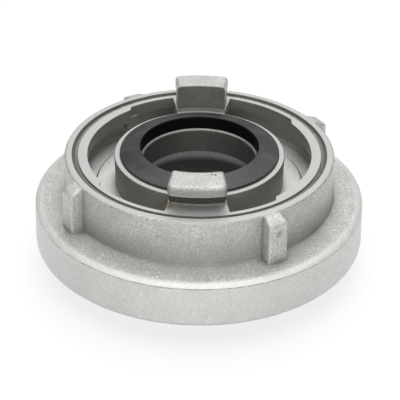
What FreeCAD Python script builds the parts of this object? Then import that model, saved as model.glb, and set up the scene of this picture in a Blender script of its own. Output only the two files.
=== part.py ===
import FreeCAD, Part
import math
import os
import Sketcher

# Quarter turn hose coupling reducer: one aluminium casting with a small claw coupling on top and a
# large one below it, and a rubber pressure seal in each. Millimetres, +Z along the waterway, origin on
# the axis at the tips of the large claws.

sizes = {
    # distance between the inner faces of a pair of claws, which names the coupling's size
    "small_claw_gap": 66.0,
    "large_claw_gap": 89.0,
    # heights above the large coupling's face
    "body_height": 35.5,
    "skirt_height": 15.9,
    "ring_foot_height": 18.1,
    # how far each feature reaches outwards from a claw's inner face, the same on both couplings
    "neck_reach": 5.9,
    "head_reach": 10.6,
    "band_reach": 9.2,
    "channel_reach": 13.5,
    "groove_inner_reach": 12.7,
    "groove_ridge_reach": 13.8,
    "groove_outer_reach": 15.0,
    "opening_clearance": 0.5,
    # depths below a coupling's face
    "rim_drop": 1.0,
    "band_drop": 0.4,
    "groove_depth": 1.3,
    "ledge_depth": 4.6,
    "ramp_entry": 0.2,
    "ramp_rise": 1.4,
    "ramp_inset": 0.3,
    "stop_top_depth": 4.2,
    "stop_depth": 8.7,
    "small_channel_depth": 13.2,
    "large_channel_depth": 11.3,
    "floor_step": 0.4,
    "seam_width": 0.6,
    "seam_depth": 0.4,
    # claws and the webs that carry them
    "claw_rise": 9.9,
    "hook_rise": 5.9,
    "claw_inner_width": 18.2,
    "claw_outer_width": 21.3,
    "web_margin": 0.1,
    "web_splay": 1.2,
    # bands that the hooks of the mating coupling slide under, as angles from the middle of a claw
    "lock_angle": 41.5,
    "nose_angle": 57.5,
    "stop_lead": 5.0,
    "stop_sweep": 7.0,
    # collar round each seal
    "collar_clearance": 0.9,
    "collar_wall": 2.05,
    "collar_draft": 0.3,
    # outside walls
    "small_ring_reach": 17.7,
    "small_ring_draft": 0.5,
    "skirt_reach": 18.5,
    "skirt_draft": 0.5,
    "skirt_step": 0.2,
    "shoulder_inset": 1.5,
    "shoulder_rise": 1.25,
    # waterway
    "bore_bevel": 0.6,
    "flare_height": 23.0,
    "flare_foot_height": 15.4,
    "flare_spread": 5.7,
    # seals, and the undercut that holds the foot of each one
    "seat_depth": 2.9,
    "foot_reach": 0.8,
    "foot_height": 1.6,
    "seal_width": 7.85,
    "seal_lip_rise": 2.4,
    "seal_edge_rise": 0.0,
    "seal_setback": 0.8,
    "seal_clearance": 0.1,
    "seal_inner_round": 0.5,
    "seal_outer_round": 0.3,
    # wrench ribs on the small ring
    "rib_angle": 31.2,
    "rib_count": 4,
    "rib_width": 7.7,
    "rib_reach": 22.6,
    "rib_draft": 0.3,
    "rib_foot_height": 14.0,
    "rib_cap_height": 33.3,
    "rib_top_height": 35.2,
    "rib_cap_setback": 4.2,
    "rib_cap_taper": 0.6,
    # rounds left by the mould and the lathe
    "shoulder_round": 4.0,
    "skirt_foot_round": 1.5,
    "ring_foot_round": 0.5,
    "ring_top_round": 0.9,
    "channel_round": 0.4,
    "collar_foot_round": 0.5,
    "rim_round": 0.35,
    "claw_side_round": 2.0,
    "claw_top_round": 1.4,
    "rib_round": 1.1,
    # how far a piece of the casting is sunk into the wall that carries it, so that they are one
    "root_overlap": 0.4,
}

# Places that follow from the sizes: formulas of the same sheet.
places = {
    "small_claw_r": "small_claw_gap / 2",
    "large_claw_r": "large_claw_gap / 2",
    "top_face_z": "claw_rise + body_height",
    "claw_inner_half": "claw_inner_width / 2",
    "claw_outer_half": "claw_outer_width / 2",
    "web_inner_half": "claw_inner_half + web_margin",
    "web_outer_half": "claw_outer_half + web_margin + web_splay",
    "small_claw_turn": "90",
    "large_claw_turn": "180",
    "small_lock_turn": "small_claw_turn + lock_angle",
    "large_lock_turn": "large_claw_turn - lock_angle",
    "small_stop_turn": "small_lock_turn - stop_lead",
    "large_stop_turn": "large_lock_turn + stop_lead",
    "ramp_turns": "(180 - lock_angle - nose_angle) / 360",
    "skirt_r": "large_claw_r + skirt_reach",
    "skirt_top_r": "skirt_r - skirt_draft",
    "skirt_top_z": "claw_rise + skirt_height",
    "shoulder_edge_r": "skirt_top_r - skirt_step",
    "shoulder_r": "skirt_top_r - skirt_step - shoulder_inset",
    "shoulder_z": "skirt_top_z + shoulder_rise",
    "ring_r": "small_claw_r + small_ring_reach",
    "ring_foot_r": "ring_r + small_ring_draft",
    "ring_foot_z": "claw_rise + ring_foot_height",
    "bore_reach": "collar_clearance + collar_wall + seal_clearance + seal_width + seal_setback",
    "small_bore_r": "small_claw_r - bore_reach",
    "large_bore_r": "large_claw_r - bore_reach",
    "bore_mouth_r": "small_bore_r + bore_bevel",
    "bore_mouth_z": "top_face_z - seat_depth - bore_bevel",
    "flare_z": "claw_rise + flare_height",
    "flare_foot_z": "claw_rise + flare_foot_height",
    "flare_foot_r": "small_bore_r + flare_spread",
    "large_mouth_r": "large_bore_r + bore_bevel",
    "large_mouth_z": "claw_rise + seat_depth + bore_bevel",
    "rib_turn": "90 + rib_angle",
    "rib_root_x": "small_claw_r + groove_outer_reach",
    "rib_foot_z": "claw_rise + rib_foot_height",
    "rib_foot_half": "rib_width / 2 + rib_draft",
    "rib_foot_nose": "small_claw_r + rib_reach + rib_draft",
    "rib_cap_z": "claw_rise + rib_cap_height",
    "rib_cap_half": "rib_width / 2",
    "rib_cap_nose": "small_claw_r + rib_reach",
    "rib_top_z": "claw_rise + rib_top_height",
    "rib_top_half": "rib_width / 2 - rib_cap_taper",
    "rib_top_nose": "small_claw_r + rib_reach - rib_cap_setback",
}

# Radii of one coupling, from the inner face of its claws.
reaches = {
    "neck_r": "neck_reach",
    "head_r": "head_reach",
    "hook_cut_r": "head_reach + opening_clearance / 2",
    "band_r": "band_reach",
    "ramp_r": "band_reach + ramp_inset",
    "thin_rim_r": "head_reach + opening_clearance",
    "band_root_r": "head_reach + opening_clearance + root_overlap",
    "channel_r": "channel_reach",
    "channel_root_r": "channel_reach + root_overlap",
    "groove_inner_r": "groove_inner_reach",
    "groove_ridge_r": "groove_ridge_reach",
    "groove_outer_r": "groove_outer_reach",
    "claw_root_r": "-collar_clearance - collar_draft - root_overlap",
    "seat_cut_r": "-collar_clearance - collar_wall - root_overlap",
    "collar_r": "-collar_clearance",
    "collar_foot_r": "-collar_clearance - collar_draft",
    "seat_r": "-collar_clearance - collar_wall",
    "foot_r": "-collar_clearance - collar_wall + foot_reach",
    "seal_r": "-collar_clearance - collar_wall - seal_clearance",
    "seal_bore_r": "-collar_clearance - collar_wall - seal_clearance - seal_width",
    "seam_r": "neck_reach + seam_width",
    "seal_foot_r": "-collar_clearance - collar_wall + foot_reach - seal_clearance",
}

# Heights of one coupling, as depths below its face. A claw stands above the face, so its is negative.
depths = {
    "face_z": "0",
    "tip_z": "-claw_rise",
    "cut_z": "-claw_rise - root_overlap",
    "hook_z": "-hook_rise",
    "rim_z": "rim_drop",
    "band_z": "band_drop",
    "groove_z": "groove_depth",
    "ridge_z": "groove_depth / 2",
    "ledge_z": "ledge_depth",
    "ramp_z": "ledge_depth + ramp_entry + ramp_rise",
    "ramp_root_z": "ledge_depth - root_overlap",
    "stop_top_z": "stop_top_depth",
    "stop_z": "stop_depth",
    "seat_z": "seat_depth",
    "foot_z": "seat_depth - foot_height",
    "seal_foot_z": "seat_depth - foot_height + seal_clearance",
    "seal_edge_z": "-seal_edge_rise",
    "seal_lip_z": "-seal_lip_rise",
}

for half, face, inwards in (("small", "top_face_z", "-"), ("large", "claw_rise", "+")):
    for name, reach in reaches.items():
        places[half + "_" + name] = half + "_claw_r + (" + reach + ")"
    floor = half + "_channel_depth"
    half_depths = dict(depths, floor_z=floor, low_floor_z=floor + " + floor_step",
                       web_root_z=floor + " + floor_step + root_overlap")
    for name, depth in half_depths.items():
        places[half + "_" + name] = face + " " + inwards + " (" + depth + ")"
    places[half + "_seam_z"] = face + " " + inwards + " (" + floor + " + floor_step + seam_depth)"
    places[half + "_band_start"] = half + "_band_r * sin(lock_angle)"
    places[half + "_band_nose"] = half + "_band_r * sin(nose_angle)"
    places[half + "_web_length"] = floor + " + floor_step + root_overlap"
    places[half + "_claw_length"] = floor + " + floor_step + root_overlap + claw_rise"

doc = FreeCAD.newDocument("hose_coupling_reducer")
sheet = doc.addObject("Spreadsheet::Sheet", "sizes")


def fill_sheet():
    """Writes the sizes as plain numbers and the places as formulas, each with its alias."""
    row = 0
    for alias, number in sizes.items():
        row += 1
        sheet.set("A%d" % row, alias)
        sheet.set("B%d" % row, str(number))
        sheet.setAlias("B%d" % row, alias)
    for alias, formula in places.items():
        row += 1
        sheet.set("A%d" % row, alias)
        sheet.set("B%d" % row, "=" + formula)
        sheet.setAlias("B%d" % row, alias)
    doc.recompute()


def size(alias):
    """The number in a cell of the sheet."""
    return float(sheet.get(alias))


def origin_part(body, role):
    """A plane or an axis of a body's own origin."""
    return [part for part in body.Origin.OriginFeatures if part.Role == role][0]


def new_sketch(body, name, role, turn=None, height=None):
    """A sketch on an origin plane, turned about the waterway, or raised along it, by cells of the sheet."""
    sketch = body.newObject("Sketcher::SketchObject", name)
    sketch.AttachmentSupport = [(origin_part(body, role), "")]
    sketch.MapMode = "FlatFace"
    waterway = FreeCAD.Vector(0, 1, 0) if role == "XZ_Plane" else FreeCAD.Vector(0, 0, 1)
    if turn:
        sketch.AttachmentOffset = FreeCAD.Placement(
            FreeCAD.Vector(0, 0, 0), FreeCAD.Rotation(waterway, size(turn)))
        sketch.setExpression("AttachmentOffset.Rotation.Angle", "sizes." + turn)
    if height:
        sketch.setExpression("AttachmentOffset.Base.z", "sizes." + height)
    return sketch


def signed(name):
    """The number and the formula of a cell, whose name may start with a minus."""
    if name.startswith("-"):
        return -size(name[1:]), "-sizes." + name[1:]
    return size(name), "sizes." + name


def pin(sketch, geometry, end, name, axis):
    """Ties one end of a line or arc to a cell, along X or Y from the sketch's origin."""
    number, formula = signed(name)
    if number < 0:
        rule = Sketcher.Constraint("Distance" + axis, geometry, end, -1, 1, -number)
        formula = formula[1:] if formula.startswith("-") else "-" + formula
    else:
        rule = Sketcher.Constraint("Distance" + axis, -1, 1, geometry, end, number)
    index = sketch.addConstraint(rule)
    sketch.setExpression("Constraints[%d]" % index, formula)


def outline(sketch, corners):
    """A closed outline of straight lines through corners, each a pair of cell names."""
    first = sketch.GeometryCount
    points = [FreeCAD.Vector(signed(x)[0], signed(y)[0], 0) for x, y in corners]
    for index, point in enumerate(points):
        following = points[(index + 1) % len(points)]
        sketch.addGeometry(Part.LineSegment(point, following), False)
    for index in range(len(corners)):
        following = (index + 1) % len(corners)
        sketch.addConstraint(Sketcher.Constraint("Coincident", first + index, 2, first + following, 1))
    for index, (x, y) in enumerate(corners):
        pin(sketch, first + index, 1, x, "X")
        pin(sketch, first + index, 1, y, "Y")


def sector_outline(sketch, inner_r, outer_r, inner_half, outer_half):
    """A claw's plan: two arcs about the waterway, joined by straight sides."""
    middle = FreeCAD.Vector(0, 0, 0)
    upright = FreeCAD.Vector(0, 0, 1)
    ends = {}
    for geometry, (radius, half) in enumerate(((inner_r, inner_half), (outer_r, outer_half))):
        angle = math.asin(size(half) / size(radius))
        circle = Part.Circle(middle, upright, size(radius))
        sketch.addGeometry(Part.ArcOfCircle(circle, -angle, angle), False)
        ends[geometry] = FreeCAD.Vector(math.cos(angle), math.sin(angle), 0) * size(radius)
    near, far = ends[0], ends[1]
    near_mirror = FreeCAD.Vector(near.x, -near.y, 0)
    far_mirror = FreeCAD.Vector(far.x, -far.y, 0)
    sketch.addGeometry(Part.LineSegment(near, far), False)
    sketch.addGeometry(Part.LineSegment(near_mirror, far_mirror), False)
    for geometry, radius in ((0, inner_r), (1, outer_r)):
        sketch.addConstraint(Sketcher.Constraint("Coincident", geometry, 3, -1, 1))
        index = sketch.addConstraint(Sketcher.Constraint("Radius", geometry, size(radius)))
        sketch.setExpression("Constraints[%d]" % index, "sizes." + radius)
    for line, end in ((2, 2), (3, 1)):
        sketch.addConstraint(Sketcher.Constraint("Coincident", 0, end, line, 1))
        sketch.addConstraint(Sketcher.Constraint("Coincident", 1, end, line, 2))
    for geometry, half in ((0, inner_half), (1, outer_half)):
        pin(sketch, geometry, 2, half, "Y")
        pin(sketch, geometry, 1, "-" + half, "Y")


def band_outline(sketch, half, upwards):
    """A band's plan: two arcs about the waterway, ended by lines that run along the claws' direction."""
    middle = FreeCAD.Vector(0, 0, 0)
    upright = FreeCAD.Vector(0, 0, 1)
    side = "-" if upwards else ""
    start, nose = half + "_band_start", half + "_band_nose"
    radii = (half + "_band_r", half + "_band_root_r")
    for radius in radii:
        first = math.asin(size(nose) / size(radius))
        last = math.pi - math.asin(size(start) / size(radius))
        if upwards:
            first, last = -last, -first
        circle = Part.Circle(middle, upright, size(radius))
        sketch.addGeometry(Part.ArcOfCircle(circle, first, last), False)
    for end in (1, 2):
        near, far = sketch.getPoint(0, end), sketch.getPoint(1, end)
        sketch.addGeometry(Part.LineSegment(near, far), False)
    for geometry, radius in enumerate(radii):
        sketch.addConstraint(Sketcher.Constraint("Coincident", geometry, 3, -1, 1))
        index = sketch.addConstraint(Sketcher.Constraint("Radius", geometry, size(radius)))
        sketch.setExpression("Constraints[%d]" % index, "sizes." + radius)
    ends = (start, nose) if upwards else (nose, start)
    for line, end, across in ((2, 1, ends[0]), (3, 2, ends[1])):
        sketch.addConstraint(Sketcher.Constraint("Coincident", 0, end, line, 1))
        sketch.addConstraint(Sketcher.Constraint("Coincident", 1, end, line, 2))
        pin(sketch, 0, end, side + across, "Y")
        pin(sketch, 1, end, side + across, "Y")


def new_feature(body, kind, name):
    """A feature that keeps its faces as they are: merging them across a seam spoils round faces."""
    feature = body.newObject("PartDesign::" + kind, name)
    feature.Refine = False
    return feature


def turned(body, kind, name, sketch, sweep=None, reverse=False):
    """A revolution or groove about the waterway, all round or through the angle of a cell."""
    feature = new_feature(body, kind, name)
    feature.Profile = sketch
    feature.ReferenceAxis = (sketch, ["V_Axis"])
    feature.Angle = 360
    feature.Reversed = reverse
    if sweep:
        feature.setExpression("Angle", "sizes." + sweep)
    return feature


def padded(body, name, sketch, length, reverse=False):
    """A pad as long as a cell says."""
    feature = new_feature(body, "Pad", name)
    feature.Profile = sketch
    feature.Reversed = reverse
    feature.setExpression("Length", "sizes." + length)
    return feature


def repeated(body, name, features, count):
    """Equal copies of some features all round the waterway."""
    pattern = new_feature(body, "PolarPattern", name)
    pattern.Originals = features
    pattern.Axis = (origin_part(body, "Z_Axis"), [""])
    pattern.Angle = 360
    pattern.Occurrences = count
    body.Tip = pattern
    return pattern


def rounded(body, name, base, wanted, radius):
    """A fillet on the edges of the last feature that a test picks out."""
    doc.recompute()
    edges = ["Edge%d" % (index + 1) for index, edge in enumerate(base.Shape.Edges) if wanted(edge)]
    if not edges:
        raise RuntimeError(name + " finds no edge")
    feature = new_feature(body, "Fillet", name)
    feature.Base = (base, edges)
    feature.setExpression("Radius", "sizes." + radius)
    body.Tip = feature
    return feature


def near(number, other):
    """Whether two lengths are the same to a hundredth."""
    return abs(number - other) < 0.01


def ring_edge(radius, height):
    """A test for an edge that runs round the waterway at a height, near enough at a radius."""
    def wanted(edge):
        if not isinstance(edge.Curve, Part.Circle):
            return False
        centre = edge.Curve.Center
        return abs(edge.Curve.Radius - size(radius)) < size("collar_draft") / 2 \
            and near(centre.z, size(height)) and math.hypot(centre.x, centre.y) < 0.01
    return wanted


def claw_frame(point, turn):
    """A point as seen from the waterway towards the nearer claw: outwards, sideways and up."""
    angle = math.radians(size(turn))
    outwards = point.x * math.cos(angle) + point.y * math.sin(angle)
    sideways = point.y * math.cos(angle) - point.x * math.sin(angle)
    return abs(outwards), sideways, point.z


def half_section(half):
    """Half of the casting's section, from the foot of a seal's seat out to the coupling's face."""
    corners = [("foot_r", "seat_z"), ("foot_r", "foot_z"), ("seat_r", "foot_z"), ("seat_r", "face_z"),
               ("collar_r", "face_z"), ("collar_foot_r", "floor_z"), ("neck_r", "floor_z"),
               ("neck_r", "seam_z"), ("seam_r", "low_floor_z"), ("channel_r", "low_floor_z"),
               ("channel_r", "ledge_z"), ("thin_rim_r", "ledge_z"), ("thin_rim_r", "face_z")]
    return [(half + "_" + radius, half + "_" + height) for radius, height in corners]


def cut_corners(half):
    """What the lathe takes off a half: the necks under the hooks, the tops of the bands and the groove."""
    corners = [("neck_r", "band_z"), ("groove_inner_r", "band_z"), ("groove_inner_r", "groove_z"),
               ("groove_ridge_r", "ridge_z"), ("groove_outer_r", "groove_z"), ("groove_outer_r", "cut_z"),
               ("hook_cut_r", "cut_z"), ("hook_cut_r", "hook_z"), ("neck_r", "hook_z")]
    return [(half + "_" + radius, half + "_" + height) for radius, height in corners]


def add_coupling_half(body, half, upwards):
    """Bands with their stops, webs and claws of one coupling, twice round, and its turned surfaces."""
    claw_turn = half + "_claw_turn"
    band_sketch = new_sketch(body, half + "_band_plan", "XY_Plane", claw_turn, half + "_ledge_z")
    band_outline(band_sketch, half, upwards)
    band = padded(body, half + "_band", band_sketch, "ledge_depth", not upwards)
    stop_sketch = new_sketch(body, half + "_stop_section", "XZ_Plane", half + "_stop_turn")
    outline(stop_sketch, [(half + "_ramp_r", half + "_stop_top_z"),
                          (half + "_channel_root_r", half + "_stop_top_z"),
                          (half + "_channel_root_r", half + "_stop_z"), (half + "_ramp_r", half + "_stop_z")])
    stop = turned(body, "Revolution", half + "_stop", stop_sketch, "stop_sweep", not upwards)
    web_sketch = new_sketch(body, half + "_web_plan", "XY_Plane", claw_turn, half + "_web_root_z")
    sector_outline(web_sketch, half + "_claw_root_r", half + "_channel_root_r",
                   "web_inner_half", "web_outer_half")
    web = padded(body, half + "_web", web_sketch, half + "_web_length", not upwards)
    claw_sketch = new_sketch(body, half + "_claw_plan", "XY_Plane", claw_turn, half + "_web_root_z")
    sector_outline(claw_sketch, half + "_claw_root_r", half + "_head_r", "claw_inner_half", "claw_outer_half")
    claw = padded(body, half + "_claw", claw_sketch, half + "_claw_length", not upwards)
    repeated(body, half + "_claws", [band, stop, web, claw], 2)
    cut_sketch = new_sketch(body, half + "_cut_section", "XZ_Plane")
    outline(cut_sketch, cut_corners(half))
    outline(cut_sketch, [(half + "_seat_cut_r", half + "_rim_z"), (half + "_claw_r", half + "_rim_z"),
                         (half + "_claw_r", half + "_cut_z"), (half + "_seat_cut_r", half + "_cut_z")])
    return turned(body, "Groove", half + "_turned_cuts", cut_sketch)


def add_ramps(body, half, upwards):
    """The helical undersides of a coupling's bands, thickest at the lock end."""
    ramp_sketch = new_sketch(body, half + "_ramp_section", "XZ_Plane", half + "_lock_turn")
    outline(ramp_sketch, [(half + "_ramp_r", half + "_ramp_root_z"),
                          (half + "_channel_root_r", half + "_ramp_root_z"),
                          (half + "_channel_root_r", half + "_ramp_z"), (half + "_ramp_r", half + "_ramp_z")])
    ramp = new_feature(body, "AdditiveHelix", half + "_ramp")
    ramp.Profile = (ramp_sketch, [""])
    ramp.ReferenceAxis = (ramp_sketch, ["V_Axis"])
    ramp.Mode = "height-turns-angle"
    ramp.Reversed = not upwards
    ramp.setExpression("Height", "sizes.ramp_rise")
    ramp.setExpression("Turns", "sizes.ramp_turns")
    return repeated(body, half + "_ramps", [ramp], 2)


def round_claws(body, half, last):
    """Rounds the claws' upright outer corners and the outer edges of their tops."""
    turn = half + "_claw_turn"
    tip = size(half + "_tip_z")

    def corner(edge):
        ends = [claw_frame(vertex.Point, turn) for vertex in edge.Vertexes]
        radii = [math.hypot(out, side) for out, side, height in ends]
        return near(ends[0][1], ends[-1][1]) and near(abs(ends[0][1]), size("claw_outer_half")) \
            and all(near(radius, size(half + "_head_r")) for radius in radii)

    def rim(edge):
        ends = [claw_frame(vertex.Point, turn) for vertex in edge.Vertexes]
        return all(near(height, tip) for out, side, height in ends) \
            and not all(near(math.hypot(out, side), size(half + "_claw_r")) for out, side, height in ends)

    last = rounded(body, half + "_claw_corners", last, corner, "claw_side_round")
    return rounded(body, half + "_claw_tops", last, rim, "claw_top_round")


def rib_plan(body, level):
    """The outline of a wrench rib at its foot, where its cap starts, or at its top."""
    sketch = new_sketch(body, "rib_" + level + "_plan", "XY_Plane", "rib_turn", "rib_" + level + "_z")
    nose, half = "rib_" + level + "_nose", "rib_" + level + "_half"
    outline(sketch, [("rib_root_x", "-" + half), (nose, "-" + half), (nose, half), ("rib_root_x", half)])
    return sketch


def rib_edge(edge):
    """Whether an edge is an upright corner of a rib or bounds its cap."""
    ends = [vertex.Point for vertex in edge.Vertexes]
    furthest = max(math.hypot(point.x, point.y) for point in ends)
    highest = max(point.z for point in ends)
    return furthest > size("rib_cap_nose") - size("root_overlap") \
        and (near(highest, size("rib_cap_z")) or near(highest, size("rib_top_z")))


def make_casting():
    """The reducer itself, cast in one piece and turned where it meets other couplings."""
    body = doc.addObject("PartDesign::Body", "reducer_body")
    section = new_sketch(body, "turned_section", "XZ_Plane")
    outline(section, [("bore_mouth_r", "small_seat_z")] + half_section("small")
            + [("ring_r", "top_face_z"), ("ring_foot_r", "ring_foot_z"), ("shoulder_r", "shoulder_z"),
               ("shoulder_edge_r", "skirt_top_z"), ("skirt_top_r", "skirt_top_z"),
               ("skirt_r", "large_face_z")]
            + half_section("large")[::-1]
            + [("large_mouth_r", "large_seat_z"), ("large_bore_r", "large_mouth_z"),
               ("large_bore_r", "flare_foot_z"), ("flare_foot_r", "flare_foot_z"),
               ("small_bore_r", "flare_z"), ("small_bore_r", "bore_mouth_z")])
    turned(body, "Revolution", "turned_body", section)
    add_coupling_half(body, "small", True)
    add_coupling_half(body, "large", False)
    plans = [rib_plan(body, level) for level in ("foot", "cap", "top")]
    rib = new_feature(body, "AdditiveLoft", "rib")
    rib.Profile = plans[0]
    rib.Sections = plans[1:]
    rib.Ruled = True
    last = repeated(body, "ribs", [rib], int(sizes["rib_count"]))
    last = rounded(body, "rib_rounds", last, rib_edge, "rib_round")
    last = round_claws(body, "small", last)
    last = round_claws(body, "large", last)
    rounds = (("shoulder_round", "shoulder_r", "shoulder_z"), ("skirt_foot_round", "skirt_r", "large_face_z"),
              ("ring_foot_round", "ring_foot_r", "ring_foot_z"),
              ("ring_top_round", "ring_r", "top_face_z"),
              ("channel_round", "small_channel_r", "small_low_floor_z"),
              ("channel_round", "large_channel_r", "large_low_floor_z"),
              ("collar_foot_round", "small_collar_foot_r", "small_floor_z"),
              ("collar_foot_round", "large_collar_foot_r", "large_floor_z"),
              ("rim_round", "small_collar_r", "small_rim_z"), ("rim_round", "large_collar_r", "large_rim_z"))
    for number, (radius, edge_r, edge_z) in enumerate(rounds):
        last = rounded(body, "turned_round_%d" % number, last, ring_edge(edge_r, edge_z), radius)
    add_ramps(body, "small", True)
    add_ramps(body, "large", False)
    return body


def make_seal(half):
    """A rubber ring whose face rises to a lip round the waterway, with a foot held in the undercut."""
    body = doc.addObject("PartDesign::Body", half + "_seal")
    section = new_sketch(body, half + "_seal_section", "XZ_Plane")
    bore, lip = half + "_seal_bore_r", half + "_seal_lip_z"
    wall, edge = half + "_seal_r", half + "_seal_edge_z"
    outline(section, [(bore, half + "_seat_z"), (half + "_seal_foot_r", half + "_seat_z"),
                      (half + "_seal_foot_r", half + "_seal_foot_z"), (wall, half + "_seal_foot_z"),
                      (wall, edge), (bore, lip)])
    last = turned(body, "Revolution", half + "_seal_ring", section)
    last = rounded(body, half + "_seal_inner", last, ring_edge(bore, lip), "seal_inner_round")
    rounded(body, half + "_seal_outer", last, ring_edge(wall, edge), "seal_outer_round")
    return body


fill_sheet()
parts = [make_casting(), make_seal("small"), make_seal("large")]
doc.recompute()

for item in doc.Objects:
    if "Invalid" in item.State or "Error" in item.State:
        raise RuntimeError(item.Name + " failed: " + str(item.State))
for part in parts:
    if part.Shape.isNull() or not part.Shape.isValid():
        raise RuntimeError(part.Label + " has no valid shape")

os.makedirs("parts", exist_ok=True)
for part in parts:
    box = part.Shape.BoundBox
    print(part.Label, "solids", len(part.Shape.Solids), "volume", round(part.Shape.Volume, 1),
          "height", round(box.ZMax - box.ZMin, 2))
    part.Shape.exportStep("parts/" + part.Label + ".step")
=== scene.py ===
import math
import bpy
from mathutils import Matrix, Vector


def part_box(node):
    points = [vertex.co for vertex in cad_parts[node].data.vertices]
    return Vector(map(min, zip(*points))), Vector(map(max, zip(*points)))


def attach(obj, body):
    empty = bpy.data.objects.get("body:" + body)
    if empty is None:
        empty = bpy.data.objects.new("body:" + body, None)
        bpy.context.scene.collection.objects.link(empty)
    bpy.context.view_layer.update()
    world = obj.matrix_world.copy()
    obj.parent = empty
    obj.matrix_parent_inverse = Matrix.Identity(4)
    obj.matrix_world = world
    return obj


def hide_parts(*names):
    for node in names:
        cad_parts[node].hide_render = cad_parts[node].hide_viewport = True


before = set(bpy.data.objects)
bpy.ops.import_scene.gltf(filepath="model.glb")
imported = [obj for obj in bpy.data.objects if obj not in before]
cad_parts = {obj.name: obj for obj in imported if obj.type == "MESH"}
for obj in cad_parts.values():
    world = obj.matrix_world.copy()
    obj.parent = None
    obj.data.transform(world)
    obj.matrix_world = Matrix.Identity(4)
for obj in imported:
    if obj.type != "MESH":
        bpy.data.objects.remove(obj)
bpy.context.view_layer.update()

print("frame loaded")


def deselectAll():
    if bpy.context.mode != "OBJECT":
        bpy.ops.object.mode_set(mode="OBJECT")
    bpy.ops.object.select_all(action="DESELECT")


def makeActive(piece):
    deselectAll()
    piece.select_set(True)
    bpy.context.view_layer.objects.active = piece


# Small helpers for node trees. Lengths in the trees are metres, in the frame of the CAD.

def newMaterial(name):
    material = bpy.data.materials.new(name)
    material.use_nodes = True
    tree = material.node_tree
    shader = tree.nodes["Principled BSDF"]
    place = tree.nodes.new("ShaderNodeTexCoord").outputs["Object"]
    return material, tree, shader, place


def fillSocket(tree, socket, value):
    if isinstance(value, bpy.types.NodeSocket):
        tree.links.new(value, socket)
    else:
        socket.default_value = value


def addNode(tree, kind, inputs=None, **settings):
    node = tree.nodes.new(kind)
    for name, value in settings.items():
        setattr(node, name, value)
    for socket, value in (inputs or {}).items():
        fillSocket(tree, node.inputs[socket], value)
    return node


def addMath(tree, operation, first, second):
    return addNode(tree, "ShaderNodeMath", {0: first, 1: second}, operation=operation).outputs[0]


def addProduct(tree, first, *others):
    for other in others:
        first = addMath(tree, "MULTIPLY", first, other)
    return first


def addGreatest(tree, first, *others):
    for other in others:
        first = addMath(tree, "MAXIMUM", first, other)
    return first


def addNoise(tree, place, scale, detail, roughness):
    inputs = {"Vector": place, "Scale": scale, "Detail": detail, "Roughness": roughness}
    return addNode(tree, "ShaderNodeTexNoise", inputs).outputs["Fac"]


def addRange(tree, value, low, high, newLow=0.0, newHigh=1.0, curve="LINEAR"):
    inputs = {"Value": value, "From Min": low, "From Max": high, "To Min": newLow, "To Max": newHigh}
    return addNode(tree, "ShaderNodeMapRange", inputs, interpolation_type=curve).outputs["Result"]


def addFall(tree, value, low, high):
    return addRange(tree, value, low, high, 1, 0)


def addBand(tree, value, low, high, soft):
    rising = addRange(tree, value, low - soft, low + soft, 0, 1, "SMOOTHSTEP")
    falling = addRange(tree, value, high - soft, high + soft, 1, 0, "SMOOTHSTEP")
    return addMath(tree, "MULTIPLY", rising, falling)


def addSpot(tree, place, centre, inner, outer):
    distance = addNode(tree, "ShaderNodeVectorMath", {0: place, 1: centre}, operation="DISTANCE")
    return addRange(tree, distance.outputs["Value"], inner, outer, 1, 0, "SMOOTHSTEP")


# The distance from the waterway's axis, beside the three coordinates.
def addPolar(tree, place):
    parts = addNode(tree, "ShaderNodeSeparateXYZ", {"Vector": place}).outputs
    flat = addNode(tree, "ShaderNodeCombineXYZ", {"X": parts["X"], "Y": parts["Y"], "Z": 0.0})
    inputs = {0: flat.outputs["Vector"]}
    radius = addNode(tree, "ShaderNodeVectorMath", inputs, operation="LENGTH").outputs["Value"]
    return {"x": parts["X"], "y": parts["Y"], "height": parts["Z"], "radius": radius}


def addRing(tree, polar, radii, heights):
    return addProduct(tree, addBand(tree, polar["radius"], *radii), addBand(tree, polar["height"], *heights))


def mixColours(tree, factor, first, second):
    node = addNode(tree, "ShaderNodeMix", data_type="RGBA")
    for socket, value in ((0, factor), (6, first), (7, second)):
        fillSocket(tree, node.inputs[socket], value)
    return node.outputs[2]


def addBump(tree, height, depth, normal=None):
    inputs = {"Height": height, "Distance": depth, "Strength": 1.0}
    if normal:
        inputs["Normal"] = normal
    return addNode(tree, "ShaderNodeBump", inputs).outputs["Normal"]


# Levels and radii on the casting, from which the places of dirt, rust, painted shade and painted highlights
# are worked out.

clawReach = 0.033  # half the distance between the small claws
clawHeight = 0.0099  # of the tips over the face, on both sides
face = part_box("reducer_body")[1][2] - clawHeight
channelFloor = face - 0.0136
shoulderRadius = 0.0623
shoulderHeight = 0.0258
footRadius = clawReach + 0.0182
footHeight = 0.0280
neckIn = clawReach + 0.0045
neckOut = clawReach + 0.0075
neckTop = face + 0.0062

# A band has a start, an end and the softness of both, and a ring is a band of radius and one of height.
# An edge has a start and an end. A fade has the two values as well that it runs between.
# A spot has a centre, the radius up to which it is full and the radius at which it ends.

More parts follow.
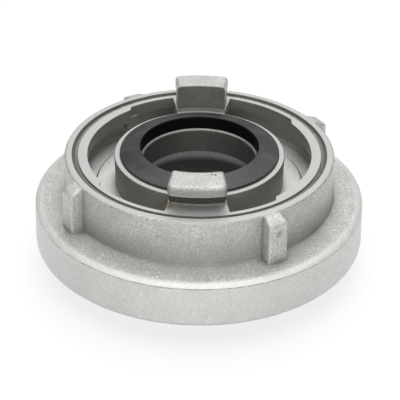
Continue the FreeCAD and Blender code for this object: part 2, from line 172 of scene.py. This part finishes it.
places = {
    "grooveRing": ((clawReach + 0.0136, clawReach + 0.0146, 0.0003), (face - 0.0020, face - 0.0004, 0.0002)),
    "grooveShadeFade": (-0.042, -0.018, 0.35, 1.0),
    "seamRing": ((clawReach + 0.0059, clawReach + 0.0065, 0.0001),
                 (channelFloor - 0.0010, channelFloor + 0.0012, 0.0002)),
    "shoulderRing": ((shoulderRadius - 0.0006, shoulderRadius + 0.0006, 0.0001),
                     (shoulderHeight - 0.00030, shoulderHeight - 0.00004, 0.00008)),
    "channelRing": ((clawReach - 0.0019, clawReach + 0.0145, 0.0004),
                    (channelFloor + 0.0006, face - 0.0006, 0.0004)),
    "litFloorRing": ((clawReach - 0.0019, clawReach + 0.0135, 0.0004),
                  (channelFloor - 0.0010, channelFloor + 0.0008, 0.0003)),
    "footBand": (footRadius - 0.0030, footRadius + 0.0005, 0.0002),
    "footFade": (footHeight - 0.0002, footHeight + 0.014, 0.85, 0.2),
    "boreEdge": (0.0213, 0.0217),
    "flareEdge": (0.0330, 0.0334),
    "flareTopEdge": (channelFloor - 0.0060, channelFloor - 0.0020),
    "faceEdge": (face + 0.0002, face + 0.0006),
    "neckBand": (neckIn, neckOut, 0.0003),
    "neckEdge": (neckTop - 0.0002, neckTop + 0.0002),
    "clawInsideEdge": (neckIn - 0.0042, neckIn - 0.0038),
    "hookEdge": (neckOut - 0.0002, neckOut + 0.0002),
    "hookBand": (neckTop - 0.0004, neckTop + 0.0028, 0.0010),
    "highlightRadiusEdge": (shoulderRadius - 0.0030, shoulderRadius - 0.0010),
    "highlightFootEdge": (shoulderHeight - 0.0001, shoulderHeight + 0.0001),
    "skirtEdge": (shoulderRadius - 0.0030, shoulderRadius - 0.0020),
    "skirtTopEdge": (shoulderHeight - 0.0002, shoulderHeight),
    "flashAngle": math.radians(-65),
    "flashBand": (-0.0001, 0.0001, 0.00012),
    "flashFade": (-0.0005, 0.0, 0.5, 0.0),
    "flashStartEdge": (0.0525, 0.0535),
    "flashFootEdge": (shoulderHeight - 0.0025, shoulderHeight - 0.0010),
    "stainSpot": ((-0.0107, -0.0395, face), 0.0010, 0.0032),
    "dimpleSpot": ((0.0290, -0.0475, 0.0394), 0.0006, 0.0014),
    "pitSpots": (((0.0062, -0.0346, face + clawHeight), 0.0002, 0.0006),
                 ((0.0049, -0.0343, face + clawHeight), 0.0002, 0.0006)),
}


# Cast aluminium, blasted to a fine grain, with painted shade in its hollows and corners, painted glints and
# highlights, and some dirt, rust and pits.
# A noise has a scale, a detail and a roughness, and a fade is as above.

castLook = {
    "paleColour": (0.72, 0.725, 0.705, 1),
    "dullColour": (0.40, 0.405, 0.38, 1),
    "dirtAndShadeColour": (0.10, 0.098, 0.075, 1),
    "hollowShadeColour": (0.27, 0.275, 0.24, 1),
    "boreShadeColour": (0.20, 0.202, 0.187, 1),
    "flareShadeColour": (0.12, 0.121, 0.112, 1),
    "paintedGlintColour": (0.95, 0.95, 0.94, 1),
    "skirtColour": (0.66, 0.662, 0.65, 1),
    "edgeHighlightColour": (0.90, 0.90, 0.88, 1),
    "neckShadeColour": (0.10, 0.099, 0.083, 1),
    "stainColour": (0.20, 0.11, 0.03, 1),
    "floorColour": (0.86, 0.865, 0.84, 1),
    "layers": (  # laid on in this order: the mask, its share and its colour
        ("paintedGlints", 1.0, "paintedGlintColour"),
        ("skirt", 0.6, "skirtColour"),
        ("paintedEdgeHighlight", 0.7, "edgeHighlightColour"),
        # painted light: the channel floor lighter, as if lit from above
        ("channelFloor", 0.7, "floorColour"),
        ("hollowShade", 0.75, "hollowShadeColour"),
        ("bore", 1.0, "boreShadeColour"),
        ("flare", 1.0, "flareShadeColour"),
        ("neckShade", 1.0, "neckShadeColour"),
        ("stain", 1.0, "stainColour"),
        ("dimple", 0.35, "dirtAndShadeColour"),
        ("pits", 1.0, "dirtAndShadeColour"),
        ("dirtAndShadeLines", 0.9, "dirtAndShadeColour"),
    ),
    "patchNoise": (110, 5, 0.7),
    "fineNoise": (1700, 3, 0.7),
    "grainNoise": (900, 3, 0.65),
    "waveNoise": (160, 3, 0.5),
    "raggedNoise": (1500, 3, 0.7),
    "shoulderNoise": (260, 3, 0.6),
    "stainNoise": (900, 3, 0.7),
    "patchShare": 0.3,
    "grainShare": 0.5,
    "grooveShare": 0.6,
    "insideShare": 0.7,
    "tintEdge": (0.65, 1.15),
    "glintEdge": (0.57, 0.66),
    "glintPatchEdge": (0.42, 0.66),
    "raggedFade": (0.2, 0.8, -0.00035, 0.00035),
    "shoulderFade": (0.35, 0.6, 0.25, 0.9),
    "stainFade": (0.35, 0.65, 0.5, 1),
    "roughnessFade": (0.3, 0.7, 0.62, 0.42),
    "metallicFade": (0, 1, 1.0, 0.2),  # from open metal to the flare
    "cornerReach": 0.0035,
    "cornerSamples": 8,
    "cornerFade": (0.45, 0.92, 1, 0),
    "dimpleDepth": 0.0006,
    "fineDepth": 0.00034,
    "grainDepth": 0.00016,
    "waveDepth": 0.00014,
}


# The flash line runs along a radius of the shoulder, at the left, painted dark as the flash's shaded side.
def addFlashLine(tree, polar):
    angle = places["flashAngle"]
    across = addMath(tree, "ADD",
                     addMath(tree, "MULTIPLY", polar["x"], math.cos(angle)),
                     addMath(tree, "MULTIPLY", polar["y"], math.sin(angle)))
    return addProduct(tree,
                      addBand(tree, across, *places["flashBand"]),
                      addRange(tree, polar["x"], *places["flashFade"]),
                      addRange(tree, polar["radius"], *places["flashStartEdge"]),
                      addRange(tree, polar["height"], *places["flashFootEdge"]))


# Dark lines: the groove, partly dirt and partly painted shade, darker towards the back; the seam at the
# channel floor; painted shade under the step at the skirt's top, broken up by noise; and the flash line.
def addDirtAndShadeLines(tree, place, polar):
    wobble = addRange(tree, addNoise(tree, place, *castLook["raggedNoise"]), *castLook["raggedFade"])
    ragged = dict(polar, radius=addMath(tree, "ADD", polar["radius"], wobble))
    groove = addProduct(tree,
                        addRing(tree, ragged, *places["grooveRing"]),
                        addRange(tree, polar["y"], *places["grooveShadeFade"]),
                        castLook["grooveShare"])
    seam = addRing(tree, polar, *places["seamRing"])
    broken = addRange(tree, addNoise(tree, place, *castLook["shoulderNoise"]), *castLook["shoulderFade"])
    shoulder = addProduct(tree, addRing(tree, polar, *places["shoulderRing"]), broken)
    return addGreatest(tree, groove, seam, shoulder, addFlashLine(tree, polar))


# Painted shade: darker in the channel, towards the ring's foot, on the hooks' faces, and in corners that
# ambient occlusion finds.
def addHollowShade(tree, polar):
    foot = addProduct(tree,
                      addRange(tree, polar["height"], *places["footFade"], "SMOOTHSTEP"),
                      addBand(tree, polar["radius"], *places["footBand"]))
    hookFace = addProduct(tree,
                          addRange(tree, polar["radius"], *places["hookEdge"]),
                          addBand(tree, polar["height"], *places["hookBand"]))
    corners = addNode(tree, "ShaderNodeAmbientOcclusion", {"Distance": castLook["cornerReach"]},
                      samples=castLook["cornerSamples"])
    return addGreatest(tree, foot, hookFace,
                       addRing(tree, polar, *places["channelRing"]),
                       addRange(tree, corners.outputs["AO"], *castLook["cornerFade"]))


# Painted shade on the claws' necks under the hooks and on the claws' inner sides, above the face.
def addNeckShade(tree, polar):
    above = addRange(tree, polar["height"], *places["faceEdge"])
    neckShade = addProduct(tree, above,
                      addBand(tree, polar["radius"], *places["neckBand"]),
                      addFall(tree, polar["height"], *places["neckEdge"]))
    inside = addProduct(tree, above,
                        addFall(tree, polar["radius"], *places["clawInsideEdge"]),
                        castLook["insideShare"])
    return addGreatest(tree, neckShade, inside)


def addStain(tree, place):
    wobble = addRange(tree, addNoise(tree, place, *castLook["stainNoise"]), *castLook["stainFade"])
    return addProduct(tree, addSpot(tree, place, *places["stainSpot"]), wobble)


def castMasks(tree, place):
    polar = addPolar(tree, place)
    radius, height = polar["radius"], polar["height"]
    return {
        "skirt": addProduct(tree,
                            addRange(tree, radius, *places["skirtEdge"]),
                            addFall(tree, height, *places["skirtTopEdge"])),
        # Painted highlight along the rounded outer edge of the shoulder.
        "paintedEdgeHighlight": addProduct(tree,
                           addRange(tree, radius, *places["highlightRadiusEdge"]),
                           addRange(tree, height, *places["highlightFootEdge"])),
        # Painted light: the channel floor made lighter, as if lit from above.
        "channelFloor": addRing(tree, polar, *places["litFloorRing"]),
        "hollowShade": addHollowShade(tree, polar),
        # Painted shade: the bore and the flare below it darkened.
        "bore": addFall(tree, radius, *places["boreEdge"]),
        "flare": addProduct(tree,
                            addFall(tree, radius, *places["flareEdge"]),
                            addFall(tree, height, *places["flareTopEdge"])),
        "neckShade": addNeckShade(tree, polar),
        "stain": addStain(tree, place),
        # The rib's dimple, bumped in and darkened a little.
        "dimple": addSpot(tree, place, *places["dimpleSpot"]),
        "pits": addGreatest(tree, *[addSpot(tree, place, *pit) for pit in places["pitSpots"]]),
        "dirtAndShadeLines": addDirtAndShadeLines(tree, place, polar),
    }


def makeCastMetal():
    material, tree, shader, place = newMaterial("castAluminium")
    patches = addNoise(tree, place, *castLook["patchNoise"])
    fine = addNoise(tree, place, *castLook["fineNoise"])
    grain = addNoise(tree, place, *castLook["grainNoise"])
    wave = addNoise(tree, place, *castLook["waveNoise"])
    masks = castMasks(tree, place)
    # Painted glints: near-white specks where the grain would catch the lamp.
    masks["paintedGlints"] = addProduct(tree,
                                 addRange(tree, fine, *castLook["glintEdge"]),
                                 addRange(tree, patches, *castLook["glintPatchEdge"]))
    speckle = addMath(tree, "ADD", fine, addMath(tree, "MULTIPLY", grain, castLook["grainShare"]))
    mottle = addMath(tree, "ADD", addMath(tree, "MULTIPLY", patches, castLook["patchShare"]), speckle)
    tint = addRange(tree, mottle, *castLook["tintEdge"])
    colour = mixColours(tree, tint, castLook["dullColour"], castLook["paleColour"])
    for mask, share, colourName in castLook["layers"]:
        colour = mixColours(tree, addProduct(tree, masks[mask], share), colour, castLook[colourName])
    tree.links.new(colour, shader.inputs["Base Color"])
    tree.links.new(addRange(tree, fine, *castLook["roughnessFade"]), shader.inputs["Roughness"])
    tree.links.new(addRange(tree, masks["flare"], *castLook["metallicFade"]), shader.inputs["Metallic"])
    normal = addBump(tree, wave, castLook["waveDepth"])
    normal = addBump(tree, addMath(tree, "SUBTRACT", 1.0, masks["dimple"]), castLook["dimpleDepth"], normal)
    normal = addBump(tree, grain, castLook["grainDepth"], normal)
    normal = addBump(tree, fine, castLook["fineDepth"], normal)
    tree.links.new(normal, shader.inputs["Normal"])
    return material


# Faces that the lathe has cut, with faint rings round the waterway.

turnedLook = {
    "colour": (0.47, 0.475, 0.46, 1),
    "metallic": 0.3,
    "roughnessFade": (0.3, 0.7, 0.48, 0.64),
    "ringScale": 900,
    "ringDetail": 2.0,
    "ringDistortion": 1.5,
    "ringDepth": 0.00002,
    "grainNoise": (1500, 3, 0.6),
    "grainDepth": 0.00005,
}


def makeTurnedMetal():
    material, tree, shader, place = newMaterial("turnedAluminium")
    inputs = {"Vector": place, "Scale": turnedLook["ringScale"],
              "Distortion": turnedLook["ringDistortion"], "Detail": turnedLook["ringDetail"]}
    rings = addNode(tree, "ShaderNodeTexWave", inputs, wave_type="RINGS", rings_direction="Z").outputs["Fac"]
    grain = addNoise(tree, place, *turnedLook["grainNoise"])
    colour = mixColours(tree, addStain(tree, place), turnedLook["colour"], castLook["stainColour"])
    tree.links.new(colour, shader.inputs["Base Color"])
    tree.links.new(addRange(tree, grain, *turnedLook["roughnessFade"]), shader.inputs["Roughness"])
    shader.inputs["Metallic"].default_value = turnedLook["metallic"]
    normal = addBump(tree, rings, turnedLook["ringDepth"])
    normal = addBump(tree, grain, turnedLook["grainDepth"], normal)
    tree.links.new(normal, shader.inputs["Normal"])
    return material


# Seal rubber, grey with dust on top, with painted shade making it black in the hole.

rubberLook = {
    "colour": (0.016, 0.017, 0.016, 1),
    "boreShadeColour": (0.004, 0.004, 0.004, 1),
    "dustColour": (0.050, 0.056, 0.051, 1),
    "boreStart": 0.0001,
    "boreEnd": 0.0007,
    "patchNoise": (120, 4, 0.6),
    "grainNoise": (900, 3, 0.6),
    "grainDepth": 0.00004,
    "tintEdge": (0.4, 0.7),
    "shineFade": (0, 1, 0.1, 0.5),  # from the hole to the outside
    "roughnessFade": (0.3, 0.7, 0.42, 0.58),
}


def makeRubber(name, bore):
    material, tree, shader, place = newMaterial(name)
    patches = addNoise(tree, place, *rubberLook["patchNoise"])
    grain = addNoise(tree, place, *rubberLook["grainNoise"])
    tint = addRange(tree, patches, *rubberLook["tintEdge"])
    colour = mixColours(tree, tint, rubberLook["colour"], rubberLook["dustColour"])
    radius = addPolar(tree, place)["radius"]
    # Painted shade: the rubber black inside the hole.
    outside = addRange(tree, radius, bore + rubberLook["boreStart"], bore + rubberLook["boreEnd"])
    colour = mixColours(tree, outside, rubberLook["boreShadeColour"], colour)
    tree.links.new(colour, shader.inputs["Base Color"])
    tree.links.new(addRange(tree, outside, *rubberLook["shineFade"]), shader.inputs["Specular IOR Level"])
    tree.links.new(addRange(tree, patches, *rubberLook["roughnessFade"]), shader.inputs["Roughness"])
    tree.links.new(addBump(tree, grain, rubberLook["grainDepth"]), shader.inputs["Normal"])
    return material


castMetal = makeCastMetal()
turnedMetal = makeTurnedMetal()
print("materials made")


# The casting: a merged copy of the CAD node, with its lathe-cut faces marked.

castingCopy = {
    "mergeDistance": 0.000005,
    "turnedDepth": 0.0012,
    "turnedSlack": 0.0002,
    "turnedNormal": 0.98,
    "smoothAngle": 30,
}


def isTurned(polygon):
    up = polygon.normal.z
    height = polygon.center.z
    slack, depth, level = castingCopy["turnedSlack"], castingCopy["turnedDepth"], castingCopy["turnedNormal"]
    onSmall = up > level and face - depth < height < face + slack
    onLarge = up < -level and clawHeight - slack < height < clawHeight + depth
    return onSmall or onLarge


def makeCasting():
    piece = bpy.data.objects.new("reducerCasting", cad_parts["reducer_body"].data.copy())
    bpy.context.scene.collection.objects.link(piece)
    piece.data.materials.clear()
    for material in (castMetal, turnedMetal):
        piece.data.materials.append(material)
    makeActive(piece)
    bpy.ops.mesh.customdata_custom_splitnormals_clear()
    bpy.ops.object.mode_set(mode="EDIT")
    bpy.ops.mesh.select_all(action="SELECT")
    bpy.ops.mesh.remove_doubles(threshold=castingCopy["mergeDistance"])
    bpy.ops.object.mode_set(mode="OBJECT")
    for polygon in piece.data.polygons:
        polygon.material_index = 1 if isTurned(polygon) else 0
    bpy.ops.object.shade_smooth_by_angle(angle=math.radians(castingCopy["smoothAngle"]))
    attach(piece, "root")
    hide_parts("reducer_body")


makeCasting()
print("casting dressed")


def dressSeal(name):
    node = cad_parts[name]
    bore = min(vertex.co.xy.length for vertex in node.data.vertices)
    node.data.materials.clear()
    node.data.materials.append(makeRubber(name + "Rubber", bore))


dressSeal("small_seal")
dressSeal("large_seal")
print("seals dressed")


# Floor, lights and camera.

stageLook = {
    "floorSize": 6.0,
    "floorColour": (0.90, 0.90, 0.90, 1),
    "floorRoughness": 0.9,
    "floorGlow": 0.80,
    "worldLight": 0.32,
    "lampTarget": (0, 0, 0.03),
    "lamps": (
        {"name": "backLamp", "size": 0.9, "power": 8, "place": (0.1, 0.95, 1.25)},
        {"name": "topLamp", "size": 1.5, "power": 18, "place": (0.0, -0.1, 1.5)},
        {"name": "frontLamp", "size": 0.9, "power": 9, "place": (0.0, -1.4, 0.30)},
    ),
}


def makeFloor():
    deselectAll()
    bpy.ops.mesh.primitive_plane_add(size=stageLook["floorSize"], location=(0, 0, 0))
    floor = bpy.context.object
    floor.name = "paleFloor"
    material = bpy.data.materials.new("paleFloor")
    material.use_nodes = True
    tree = material.node_tree
    shader = tree.nodes["Principled BSDF"]
    shader.inputs["Base Color"].default_value = stageLook["floorColour"]
    shader.inputs["Roughness"].default_value = stageLook["floorRoughness"]
    glow = addNode(tree, "ShaderNodeEmission", {"Color": (1, 1, 1, 1), "Strength": 1.0})
    rays = addNode(tree, "ShaderNodeLightPath")
    share = addMath(tree, "MULTIPLY", rays.outputs["Is Camera Ray"], stageLook["floorGlow"])
    inputs = {0: share, 1: shader.outputs["BSDF"], 2: glow.outputs["Emission"]}
    mix = addNode(tree, "ShaderNodeMixShader", inputs)
    tree.links.new(mix.outputs["Shader"], tree.nodes["Material Output"].inputs["Surface"])
    floor.data.materials.append(material)


def makeLamp(name, size, power, place):
    deselectAll()
    bpy.ops.object.light_add(type="AREA", location=place)
    lamp = bpy.context.object
    lamp.name = name
    lamp.data.size = size
    lamp.data.energy = power
    aim = Vector(stageLook["lampTarget"]) - Vector(place)
    lamp.rotation_euler = aim.to_track_quat("-Z", "Y").to_euler()


def makeWorld():
    world = bpy.data.worlds.new("studio")
    bpy.context.scene.world = world
    world.use_nodes = True
    tree = world.node_tree
    background = tree.nodes["Background"]
    rays = addNode(tree, "ShaderNodeLightPath")
    background.inputs["Color"].default_value = (1, 1, 1, 1)
    strength = addRange(tree, rays.outputs["Is Camera Ray"], 0, 1, stageLook["worldLight"], 1.0)
    tree.links.new(strength, background.inputs["Strength"])


cameraSetup = {
    "target": (0.0004, 0, 0.0232),
    "distance": 0.5206,
    "elevation": 32.01,
    "turn": 0.8,
    "roll": 0.60,
    "lens": 121.6,
    "sensor": 36,
    "clipStart": 0.01,
}


def makeCamera():
    elevation = math.radians(cameraSetup["elevation"])
    around = Matrix.Rotation(math.radians(cameraSetup["turn"]), 3, "Z")
    back = around @ Vector((0, -math.cos(elevation), math.sin(elevation)))
    deselectAll()
    bpy.ops.object.camera_add(location=Vector(cameraSetup["target"]) + back * cameraSetup["distance"])
    camera = bpy.context.object
    camera.name = "photoCamera"
    turn = around @ Matrix.Rotation(math.radians(90) - elevation, 3, "X")
    turn = turn @ Matrix.Rotation(math.radians(cameraSetup["roll"]), 3, "Z")
    camera.rotation_euler = turn.to_euler()
    camera.data.lens = cameraSetup["lens"]
    camera.data.sensor_width = cameraSetup["sensor"]
    camera.data.clip_start = cameraSetup["clipStart"]
    bpy.context.scene.camera = camera


makeFloor()
makeWorld()
for lamp in stageLook["lamps"]:
    makeLamp(**lamp)
makeCamera()
bpy.context.scene.view_settings.view_transform = "Standard"
print("stage set")
